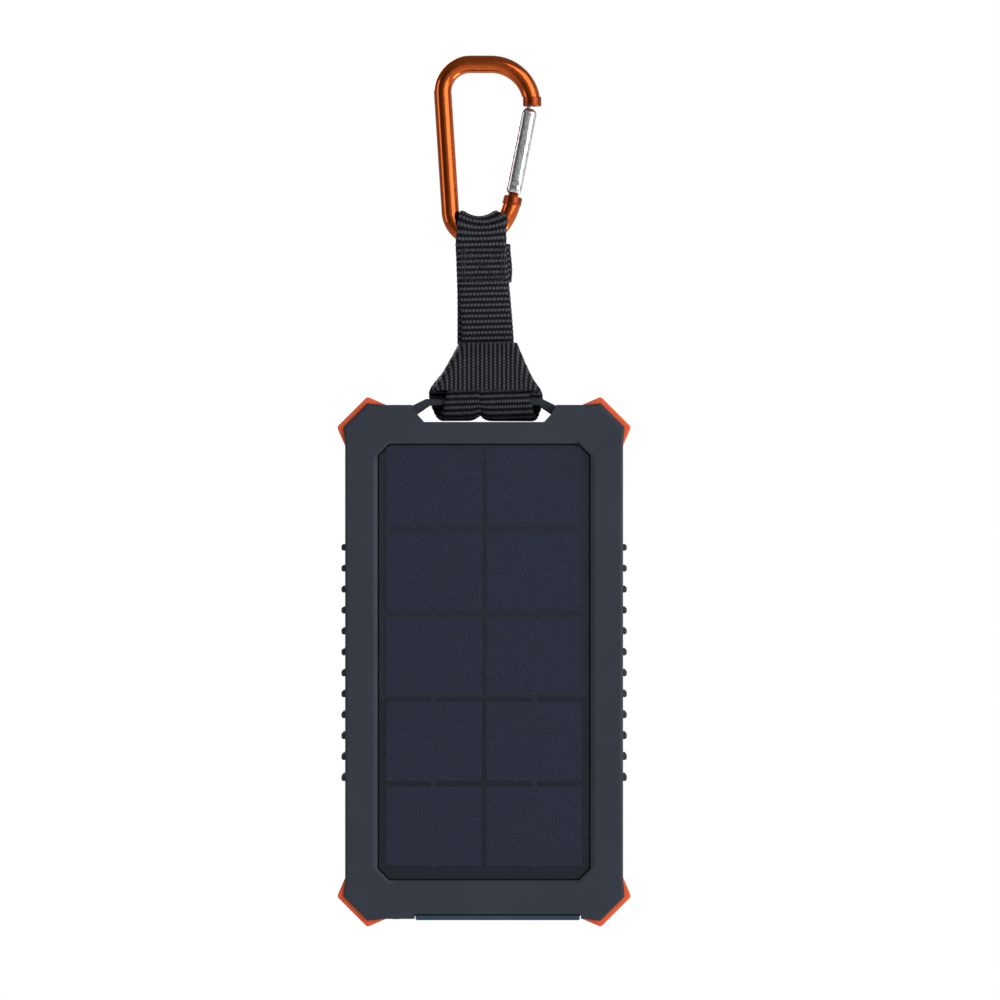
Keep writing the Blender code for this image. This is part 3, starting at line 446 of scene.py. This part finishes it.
def woven():
    """Webbing: staggered warp yarns over thick weft ribs, by the piece's own map in metres."""
    material, tree, shader = principled("ribbed_webbing", (0.02, 0.02, 0.024), 0.62)
    shader.inputs["Specular IOR Level"].default_value = 0.2
    shader.inputs["Sheen Weight"].default_value = 0.06
    shader.inputs["Sheen Roughness"].default_value = 0.4

    def calculate(operation, first, second=None):
        step = tree.nodes.new("ShaderNodeMath")
        step.operation = operation
        for socket, value in zip(step.inputs, (first, second)):
            if isinstance(value, (int, float)):
                socket.default_value = value
            elif value is not None:
                tree.links.new(value, socket)
        return step.outputs[0]

    weave_map = tree.nodes.new("ShaderNodeUVMap")
    weave_map.uv_map = "weave"
    split = tree.nodes.new("ShaderNodeSeparateXYZ")
    tree.links.new(weave_map.outputs["UV"], split.inputs["Vector"])
    rows = calculate("DIVIDE", split.outputs["Y"], RIB_PITCH)
    row = calculate("FLOOR", rows)
    rise = calculate("SINE", calculate("MULTIPLY", calculate("FRACT", rows), math.pi))
    stagger = calculate("MULTIPLY", calculate("MODULO", row, 2.0), 0.5)
    yarns = calculate("ADD", calculate("DIVIDE", split.outputs["X"], YARN_PITCH), stagger)
    yarn = calculate("SINE", calculate("MULTIPLY", calculate("FRACT", yarns), math.pi))
    yarn = calculate("POWER", calculate("MAXIMUM", yarn, 0.0), 0.7)
    rise = calculate("POWER", calculate("MAXIMUM", rise, 0.0), 1.6)
    where = tree.nodes.new("ShaderNodeTexCoord")
    fuzz = tree.nodes.new("ShaderNodeTexNoise")
    fuzz.inputs["Scale"].default_value = 1300
    fuzz.inputs["Detail"].default_value = 2
    tree.links.new(where.outputs["Object"], fuzz.inputs["Vector"])
    relief_and_painted_highlight = calculate("MULTIPLY", rise, calculate("ADD", calculate("MULTIPLY", yarn, 0.65), 0.35))
    fuzzy = calculate("MULTIPLY", calculate("SUBTRACT", fuzz.outputs["Fac"], 0.5), 0.5)
    height = calculate("ADD", relief_and_painted_highlight, fuzzy)
    # The colour follows the weave's height: painted highlight on the rib tops and painted shade in
    # the hollows between them.
    ramp = tree.nodes.new("ShaderNodeValToRGB")
    ramp.color_ramp.elements[0].position, ramp.color_ramp.elements[1].position = 0.3, 0.95
    ramp.color_ramp.elements[0].color = (0.0015, 0.0015, 0.002, 1)
    ramp.color_ramp.elements[1].color = (0.088, 0.091, 0.114, 1)
    tree.links.new(height, ramp.inputs["Fac"])
    tree.links.new(ramp.outputs["Color"], shader.inputs["Base Color"])
    bump = tree.nodes.new("ShaderNodeBump")
    bump.inputs["Strength"].default_value = 0.9
    bump.inputs["Distance"].default_value = 0.3 * MM
    tree.links.new(height, bump.inputs["Height"])
    tree.links.new(bump.outputs["Normal"], shader.inputs["Normal"])
    return material


webbing = woven()


def smooth_through(knots, t):
    """A point on the smooth line through the knots, t from 0 at the first to 1 at the last."""
    span = min(int(t * (len(knots) - 1)), len(knots) - 2)
    u = t * (len(knots) - 1) - span
    a, b, c, d = (np.array(knots[min(max(span + k, 0), len(knots) - 1)]) for k in (-1, 0, 1, 2))
    bend, twist = 2 * a - 5 * b + 4 * c - d, 3 * b - 3 * c + d - a
    return 0.5 * (2 * b + (c - a) * u + bend * u**2 + twist * u**3)


def web_piece(name, place, along, across, thick=WEB_THICK, weave=None):
    """Webbing from a flat grid: place(s, t) gives a point for s across and t along it.

    Its thickness swells over each rib and thins to a rounded selvedge at both edges. The
    weave's own map is its run in metres, or comes from weave(point).
    """
    bpy.ops.object.select_all(action="DESELECT")
    bpy.ops.mesh.primitive_grid_add(x_subdivisions=across, y_subdivisions=along, size=2)
    piece = bpy.context.object
    flat = [vertex.co.copy() for vertex in piece.data.vertices]
    spots = [place(co.x, (co.y + 1) / 2) for co in flat]
    line = [place(0.0, i / RUN_STEPS) for i in range(RUN_STEPS + 1)]
    line_ts = np.linspace(0, 1, RUN_STEPS + 1)
    run = np.concatenate([[0], np.cumsum([(b - a).length for a, b in zip(line, line[1:])])])
    half = (place(1.0, 0.5) - place(-1.0, 0.5)).length / 2
    swell = piece.vertex_groups.new(name="swell")
    maps = []
    for i, (co, spot) in enumerate(zip(flat, spots)):
        piece.data.vertices[i].co = spot
        if weave is None:
            slant = WEFT_SLANT * half * co.x
            here = (co.x * half, float(np.interp((co.y + 1) / 2, line_ts, run)) + slant)
        else:
            here = weave(spot)
        maps.append(here)
        rib = abs(math.sin(math.pi * here[1] / RIB_PITCH)) ** 0.8
        if abs(co.x) > 0.93:
            inward = place(0.97 * co.x, (co.y + 1) / 2) - spot
            piece.data.vertices[i].co = spot + inward * (1 - rib) * 0.7
        edge = 1.0
        if weave is None:
            edge = math.sqrt(max(0.0, 1 - max(0.0, (abs(co.x) - ROUND_FROM) / ROUND_OVER) ** 2))
        thin = (RIB_THIN + (1 - RIB_THIN) * rib) * (EDGE_THIN + (1 - EDGE_THIN) * edge)
        swell.add([i], thin, "REPLACE")
    while piece.data.uv_layers:
        piece.data.uv_layers.remove(piece.data.uv_layers[0])
    layer = piece.data.uv_layers.new(name="weave")
    for loop in piece.data.loops:
        layer.data[loop.index].uv = maps[loop.vertex_index]
    wall = piece.modifiers.new("wall", "SOLIDIFY")
    wall.thickness, wall.offset = thick, 0.0
    wall.vertex_group, wall.thickness_vertex_group = "swell", 0.0
    bpy.ops.object.modifier_apply(modifier=wall.name)
    return finish_piece(piece, name, webbing, 60)


# The loop's run, rear to front: y, z, left edge, right edge, and how far its edges ride up.
REAR_RUN = [
    (0.8, -83.5, -7.4, 7.0, 0), (0.8, -75, -7.5, 7.0, 0), (0.8, -64, -7.5, 6.9, 0),
    (1.2, -58.5, -7.6, 6.7, 0), (2.6, -53, -7.8, 6.5, 0), (3.8, -48, -7.9, 6.3, 0),
    (3.9, -43.5, -7.4, 6.0, 0.5), (2.7, -40.9, -6.9, 4.3, 0.9),
]
CREST = [(0, -40.35, -6.55, 3.65, 1.0)]
FRONT_RUN = [
    (-2.7, -40.8, -6.9, 4.3, 1.0), (-3.6, -42.0, -7.2, 6.5, 1.0), (-3.9, -44.8, -7.7, 6.2, 0.3),
    (-3.8, -48, -8.0, 6.1, 0), (-2.9, -53, -7.6, 6.5, 0), (-1.6, -58.5, -7.2, 7.0, 0),
    (-1.0, -64, -6.7, 7.5, 0), (-0.9, -70, -6.3, 8.0, 0), (-0.85, -75.2, -6.1, 8.3, 0),
    (-0.8, -83.5, -6.1, 8.3, 0),
]
EDGE_RISE = 2.0
loop_run = REAR_RUN + CREST + FRONT_RUN


def loop_place(s, t):
    y, z, left, right, ride = smooth_through(loop_run, t)
    x = left + (right - left) * (s + 1) / 2
    return Vector((x, y, z + EDGE_RISE * ride * s * s)) * MM


loop = web_piece("strap_loop", loop_place, 420, 16)
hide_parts("strap_webbing")
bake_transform(loop)

front_ts = np.linspace(len(REAR_RUN) / (len(loop_run) - 1), 1, 200)
front_points = [loop_place(0.0, t) for t in front_ts]
front_zs = np.array([p.z for p in front_points])[::-1]
front_ys = np.array([p.y for p in front_points])[::-1]


def front_y(z):
    """The middle of the front layer's thickness, at a height below the saddle."""
    return float(np.interp(z, front_zs, front_ys))


# Strap's sewn joint ---------------------------------------------------------
# The webbing's cut end is lapped behind the front layer and sewn to it through both, with
# a boxed cross of thick black thread. The end is not quite square, and shows on the right.

LAP_TOP, LAP_BOTTOM, LAP_BEHIND = -47.6 * MM, -58.2 * MM, 1.28 * MM
LAP_MIDDLE, LAP_HALF, LAP_RAGGED = 0.4, 7.2, 0.25


def lap_place(s, t):
    z = LAP_BOTTOM + (LAP_TOP - LAP_BOTTOM) * t
    x = (LAP_MIDDLE + LAP_HALF * s + LAP_RAGGED * s * math.sin(5 * t)) * MM
    return Vector((x, front_y(z) + LAP_BEHIND, z))


lap = web_piece("strap_lapped_end", lap_place, 48, 10, 1.15 * MM)
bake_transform(lap)


def sewn_thread():
    material, tree, shader = principled("sewing_thread", (0.012, 0.012, 0.015), 0.6)
    shader.inputs["Specular IOR Level"].default_value = 0.25
    noise = grain(tree, shader, 4000, 0.03 * MM)
    tint(tree, shader, noise, ((0.004, 0.004, 0.005), (0.04, 0.041, 0.048)))
    return material


# The box and its seams, in millimetres.
BOX_LEFT, BOX_RIGHT, BOX_TOP, BOX_BOTTOM = -6.2, 5.6, -48.9, -57.7
STITCH, STITCH_SHARE, SEAM_GAP = 1.75, 0.9, 0.75
THREAD_DEEP, THREAD_HALF, THREAD_PROUD = 0.2, 0.24, 0.6
across_at = (BOX_TOP, BOX_TOP - SEAM_GAP, BOX_TOP - 2 * SEAM_GAP, BOX_BOTTOM + 0.8, BOX_BOTTOM)
down_at = (BOX_LEFT, BOX_LEFT + SEAM_GAP, BOX_RIGHT - SEAM_GAP, BOX_RIGHT)
seams = [((BOX_LEFT, z), (BOX_RIGHT, z)) for z in across_at]
seams += [((x, BOX_TOP), (x, BOX_BOTTOM)) for x in down_at]
seams += [
    ((BOX_LEFT, BOX_TOP), (BOX_RIGHT, BOX_BOTTOM)), ((BOX_RIGHT, BOX_TOP), (BOX_LEFT, BOX_BOTTOM)),
    ((BOX_LEFT, BOX_TOP - 0.9), (BOX_RIGHT - 0.9, BOX_BOTTOM)),
]
bpy.ops.mesh.primitive_uv_sphere_add(segments=8, ring_count=6, radius=1)
stitch = bpy.context.object
stitches = []
for (x0, z0), (x1, z1) in seams:
    count = max(2, round(math.hypot(x1 - x0, z1 - z0) / STITCH))
    for i in range(count):
        u = (i + 0.5) / count
        x, z = (x0 + (x1 - x0) * u) * MM, (z0 + (z1 - z0) * u) * MM
        spots = (u, u + 0.5 / count)
        ends = [Vector((x0 + (x1 - x0) * v, 0, z0 + (z1 - z0) * v)) * MM for v in spots]
        for end in ends:
            end.y = front_y(end.z)
        run = (ends[1] - ends[0]).normalized()
        copy = stitch.copy()
        copy.data = stitch.data.copy()
        bpy.context.scene.collection.objects.link(copy)
        copy.rotation_mode = "QUATERNION"
        copy.rotation_quaternion = run.to_track_quat("X", "Y")
        copy.scale = (0.5 * STITCH * MM * STITCH_SHARE, THREAD_DEEP * MM, THREAD_HALF * MM)
        copy.location = (x, front_y(z) - THREAD_PROUD * MM, z)
        stitches.append(copy)
bpy.data.objects.remove(stitch, do_unlink=True)
bpy.ops.object.select_all(action="DESELECT")
for copy in stitches:
    copy.select_set(True)
bpy.context.view_layer.objects.active = stitches[0]
bpy.ops.object.join()
thread = finish_piece(bpy.context.object, "strap_sewing", sewn_thread(), 80)
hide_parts("strap_stitching")
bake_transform(thread)

# Hitch ----------------------------------------------------------------------
# The loop's lower end is hitched on the case's bar. Its bight crosses in front as a broad
# trapezoid, turns back at both sides, and the two legs come out below it, pass in front of
# the bar, curl under it and rise behind. All sizes and points here are in millimetres.

BIGHT_TOP, BIGHT_LOW, CORNER_DROP = -75.2, -88.2, 2.2
TOP_HALF, FLARE, CORNER_FLARE = 7.5, 7.6, 2.1
TOP_DEEP, FRONT_DEEPER, REAR_DEEPER, SWELL_BY, FOLD_R = 2.2, 2.7, 2.6, 0.32, 2.2
CORNER_FROM, CORNER_OVER, OVER_BAR_FROM, OVER_BAR_FADE = 11.5, 5.7, 4.1, 0.7
LEFT_SLIMMER, TOP_SHIFT, UPRIGHT_STRETCH = 0.07, 1.1, 1.28
BAR_ROOM = axis_of["case_swing"].z / MM + 3.9


def bight_outline(half, front, rear, flap):
    """Half of the bight seen from above, from the middle of its front round to its rear flap."""
    r = min(FOLD_R, (front + rear) / 2)
    turn = [math.radians(-90 + 15 * i) for i in range(7)]
    points = [(0, -front)]
    points += [(half - r + r * math.cos(a), -front + r + r * math.sin(a)) for a in turn]
    points += [(half - r - r * math.sin(a), rear - r + r * math.cos(a)) for a in turn]
    points += [(half - r - flap, rear)]
    steps = [math.dist(a, b) for a, b in zip(points, points[1:])]
    return np.array(points), np.concatenate([[0], np.cumsum(steps)])


def bight_place(s, t):
    """A point of the bight: s round it from its left flap to its right, t up it.

    Its width goes with its height and its low edge with its width, so each is found in turn.
    """
    down = 1 - t
    z = BIGHT_TOP + (BIGHT_LOW - BIGHT_TOP) * down
    for _ in range(3):
        depth = (BIGHT_TOP - z) / (BIGHT_TOP - BIGHT_LOW + CORNER_DROP)
        half = TOP_HALF + FLARE * depth + CORNER_FLARE * depth**4
        swell = min(1.0, depth / SWELL_BY)
        swell = swell * swell * (3 - 2 * swell)
        front, rear = TOP_DEEP + FRONT_DEEPER * swell, TOP_DEEP + REAR_DEEPER * swell
        points, run = bight_outline(half, front, rear, 0.5 * half)
        far = abs(s) * run[-1]
        x = math.copysign(float(np.interp(far, run, points[:, 0])), s)
        if s < 0:
            x *= 1 - LEFT_SLIMMER * depth
        y = float(np.interp(far, run, points[:, 1]))
        corner = min(1.0, max(0.0, (abs(x) - CORNER_FROM) / CORNER_OVER))
        low = BIGHT_LOW - (CORNER_DROP * corner * corner if y < 0 else 0)
        over_bar = min(1.0, max(0.0, (OVER_BAR_FROM - abs(y)) / OVER_BAR_FADE))
        low = max(low, low + (BAR_ROOM - low) * over_bar)
        z = BIGHT_TOP + (low - BIGHT_TOP) * down
    return Vector((x + TOP_SHIFT * (1 - down), y, z)) * MM


def bight_weave(spot):
    """Ribs stand upright across the front, and lie level on the flaps behind."""
    if spot.y < 0:
        return spot.z, spot.x * UPRIGHT_STRETCH
    return spot.x, spot.z


bight = web_piece("hitch_bight", bight_place, 22, 300, 1.25 * MM, bight_weave)
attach(bight, "strap")

# Each row of a leg is y, z, left edge, right edge, and how far it lifts at the join.
JOIN_LIFT, JOIN_AT, JOIN_WIDE = 1.2, -1.2, 1.5
LEFT_LEG = [
    (-2.1, -80, -8.5, -1.2, 0), (-3.1, -84.5, -9.3, -1.1, 0), (-3.5, -88.5, -10.2, -1.0, 0),
    (-3.6, -91.6, -11.0, -0.8, 0), (-2.9, -94.9, -11.8, -0.7, 0.6), (0, -96.2, -12.4, -1.0, 1),
    (3.0, -94.9, -13.7, -2.2, 0.6), (3.8, -91.6, -15.0, -3.4, 0), (3.7, -88, -15.2, -4.4, 0),
    (2.9, -83, -11.5, -3.0, 0), (2.2, -79, -8.8, -1.5, 0),
]
RIGHT_LEG = [
    (-2.2, -80, -1.7, 9.5, 0), (-3.3, -84.5, -1.6, 11.0, 0), (-3.7, -88.5, -1.5, 12.2, 0),
    (-3.8, -91.6, -1.2, 13.1, 0), (-3.0, -94.9, -0.9, 13.9, 0.6), (0, -96.25, -0.9, 14.4, 1),
    (3.0, -94.9, 0.4, 15.3, 0.6), (3.8, -91.6, 1.6, 16.3, 0), (3.7, -88, 3.0, 15.8, 0),
    (2.9, -83, 2.2, 11.8, 0), (2.2, -79, 1.0, 9.0, 0),
]
for side, run_knots in (("left", LEFT_LEG), ("right", RIGHT_LEG)):

    def leg_place(s, t, knots=run_knots):
        y, z, left, right, lift = smooth_through(knots, t)
        x = left + (right - left) * (s + 1) / 2
        join = math.exp(-(((x - JOIN_AT) / JOIN_WIDE) ** 2))
        return Vector((x, y, z + JOIN_LIFT * lift * join)) * MM

    leg = web_piece(f"hitch_leg_{side}", leg_place, 220, 16, 1.2 * MM)
    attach(leg, "strap")

# Case shells ----------------------------------------------------------------
# Front shell and rear cover, moulded in blue-grey plastic with a fine spark-eroded grain,
# its gloss varying a little with the grain. Six screws close them from behind.


def moulded(name, dark, light, roughness, scale=1700, depth=0.02 * MM):
    """Moulded plastic or rubber: fine grain, and colour that drifts a little."""
    material, tree, shader = principled(name, light, roughness)
    shader.inputs["Specular IOR Level"].default_value = 0.2
    noise = grain(tree, shader, scale, depth)
    where = tree.nodes.new("ShaderNodeTexCoord")
    drift = tree.nodes.new("ShaderNodeTexNoise")
    drift.inputs["Scale"].default_value = 60
    tree.links.new(where.outputs["Object"], drift.inputs["Vector"])
    tint(tree, shader, drift, (dark, light))
    sheen = tree.nodes.new("ShaderNodeMapRange")
    sheen.inputs["To Min"].default_value = roughness - 0.06
    sheen.inputs["To Max"].default_value = roughness + 0.08
    tree.links.new(noise.outputs["Fac"], sheen.inputs["Value"])
    tree.links.new(sheen.outputs["Result"], shader.inputs["Roughness"])
    return material


case_plastic = moulded("case_plastic", (0.035, 0.042, 0.057), (0.041, 0.048, 0.065), 0.5)
paint_nodes(case_plastic, ["front_shell", "rear_cover"])
paint_nodes(steel, [f"case_screw_{i}" for i in range(1, 7)])
seal_rubber = moulded("seal_rubber", (0.012, 0.014, 0.016), (0.016, 0.018, 0.02), 0.7)
paint_nodes(seal_rubber, ["case_seal"])

# The seal's outer lip fills the joint between the shells down both sides.
LIP_Y, LIP_THICK, LIP_DEEP, LIP_IN, LIP_SHORT = 3.0 * MM, 0.24 * MM, 2.4 * MM, 0.7 * MM, 13 * MM
shell_low, shell_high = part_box("rear_cover")
CASE_HALF = 38.5 * MM
for side, name in ((-1, "seal_lip_left"), (1, "seal_lip_right")):
    lip = block(
        Vector((side * (CASE_HALF - LIP_IN - LIP_DEEP / 2), LIP_Y, (shell_low.z + shell_high.z) / 2)),
        (LIP_DEEP, LIP_THICK, shell_high.z - shell_low.z - 2 * LIP_SHORT), 0.05 * MM, 2,
    )
    finish_piece(lip, name, seal_rubber)
    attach(lip, "case")

# Corner bumpers -------------------------------------------------------------
# Orange rubber, moulded into a pocket in each corner, matt and very slightly dusty.

bumper_rubber = moulded("bumper_orange", (0.93, 0.13, 0.04), (0.98, 0.15, 0.05), 0.6, 900)
corners = [f"{end}_{side}" for end in ("top", "bottom") for side in ("left", "right")]
paint_nodes(bumper_rubber, [f"bumper_{corner}" for corner in corners])

# Solar panel ----------------------------------------------------------------
# Ten dark blue silicon cells on a black board, under a matt clear film with a fine pebble.


def silicon_cell():
    material, tree, shader = principled("silicon_cell", (0.02, 0.028, 0.055), 0.4)
    shader.inputs["Specular IOR Level"].default_value = 0.2
    noise = grain(tree, shader, 2400, 0.01 * MM, 2)
    tint(tree, shader, noise, ((0.014, 0.028, 0.10), (0.085, 0.105, 0.18)), (0.38, 0.62))
    return material


def matt_film():
    material, tree, shader = principled("matt_film", (0.034, 0.04, 0.058), 0.4)
    shader.inputs["Specular IOR Level"].default_value = 0.2
    shader.inputs["Alpha"].default_value = 0.35
    grain(tree, shader, 2600, 0.005 * MM, 2)
    return material


paint_nodes(silicon_cell(), [f"solar_cell_{i}" for i in range(1, 11)])
paint_nodes(matt_film(), ["panel_cover"])

# The black board shows between the cells, and darker still in a band below them.
laminate = moulded("panel_laminate", (0.058, 0.061, 0.084), (0.066, 0.068, 0.095), 0.55)
tree = laminate.node_tree
place = tree.nodes.new("ShaderNodeTexCoord")
heights = tree.nodes.new("ShaderNodeSeparateXYZ")
foot_band = tree.nodes.new("ShaderNodeMapRange")
foot_band.inputs["From Min"].default_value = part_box("solar_cell_5")[0].z - 1.2 * MM
foot_band.inputs["From Max"].default_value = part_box("solar_cell_5")[0].z
darker = tree.nodes.new("ShaderNodeMix")
darker.data_type = "RGBA"
darker.inputs["A"].default_value = (0.018, 0.02, 0.027, 1)
board_colour = tree.nodes["Principled BSDF"].inputs["Base Color"]
tree.links.new(place.outputs["Object"], heights.inputs["Vector"])
tree.links.new(heights.outputs["Z"], foot_band.inputs["Value"])
tree.links.new(foot_band.outputs["Result"], darker.inputs["Factor"])
tree.links.new(board_colour.links[0].from_socket, darker.inputs["B"])
tree.links.new(darker.outputs["Result"], board_colour)
paint_nodes(laminate, ["panel_board"])

# Bottom edge ----------------------------------------------------------------
# Dark teal rubber cover over the ports, and the black power button beside it.

cover_rubber = moulded("cover_rubber", (0.032, 0.064, 0.096), (0.042, 0.078, 0.11), 0.66, 1200)
button_plastic = moulded("button_plastic", (0.012, 0.012, 0.013), (0.018, 0.018, 0.02), 0.4)
paint_nodes(cover_rubber, ["port_cover"])
paint_nodes(button_plastic, ["power_button"])

# Inside the case ------------------------------------------------------------
# Battery pouches, foam, boards, sockets, chips, leads and the lamps' light pipe.


def clear_lamp():
    material, tree, shader = principled("clear_lamp", (0.75, 0.76, 0.74), 0.3)
    shader.inputs["Transmission Weight"].default_value = 0.35
    grain(tree, shader, 1500, 0.01 * MM)
    return material


def pouch_foil():
    material, tree, shader = principled("pouch_foil", (0.6, 0.6, 0.62), 0.35, 0.85)
    grain(tree, shader, 250, 0.05 * MM)
    return material


paint_nodes(pouch_foil(), ["battery_cell_left", "battery_cell_right"])
paint_nodes(
    moulded("battery_foam", (0.02, 0.02, 0.02), (0.04, 0.04, 0.04), 0.85, 900, 0.1 * MM),
    ["battery_foam"],
)
paint_nodes(
    moulded("board_green", (0.008, 0.06, 0.03), (0.012, 0.09, 0.045), 0.4),
    ["battery_board", "main_board"],
)
paint_nodes(
    moulded("chip_black", (0.012, 0.012, 0.012), (0.02, 0.02, 0.02), 0.45),
    ["button_switch", "inductor", "charge_controller", "boost_controller"],
)
paint_nodes(steel, ["usb_socket_1", "usb_socket_2", "micro_usb_socket"])
paint_nodes(clear_lamp(), ["light_pipe", *[f"status_led_{i}" for i in range(1, 5)]])
paint_nodes(moulded("red_lead", (0.4, 0.015, 0.015), (0.5, 0.02, 0.02), 0.4), ["panel_lead"])
paint_nodes(
    moulded("black_lead", (0.015, 0.015, 0.015), (0.022, 0.022, 0.022), 0.4), ["battery_lead"]
)


def coated_copper():
    material, tree, shader = principled("coated_copper", (0.02, 0.022, 0.03), 0.5)
    noise = grain(tree, shader, 1000, 0.01 * MM)
    tint(tree, shader, noise, ((0.048, 0.05, 0.068), (0.054, 0.056, 0.076)))
    return material


paint_nodes(coated_copper(), ["tabbing_left", "tabbing_right"])
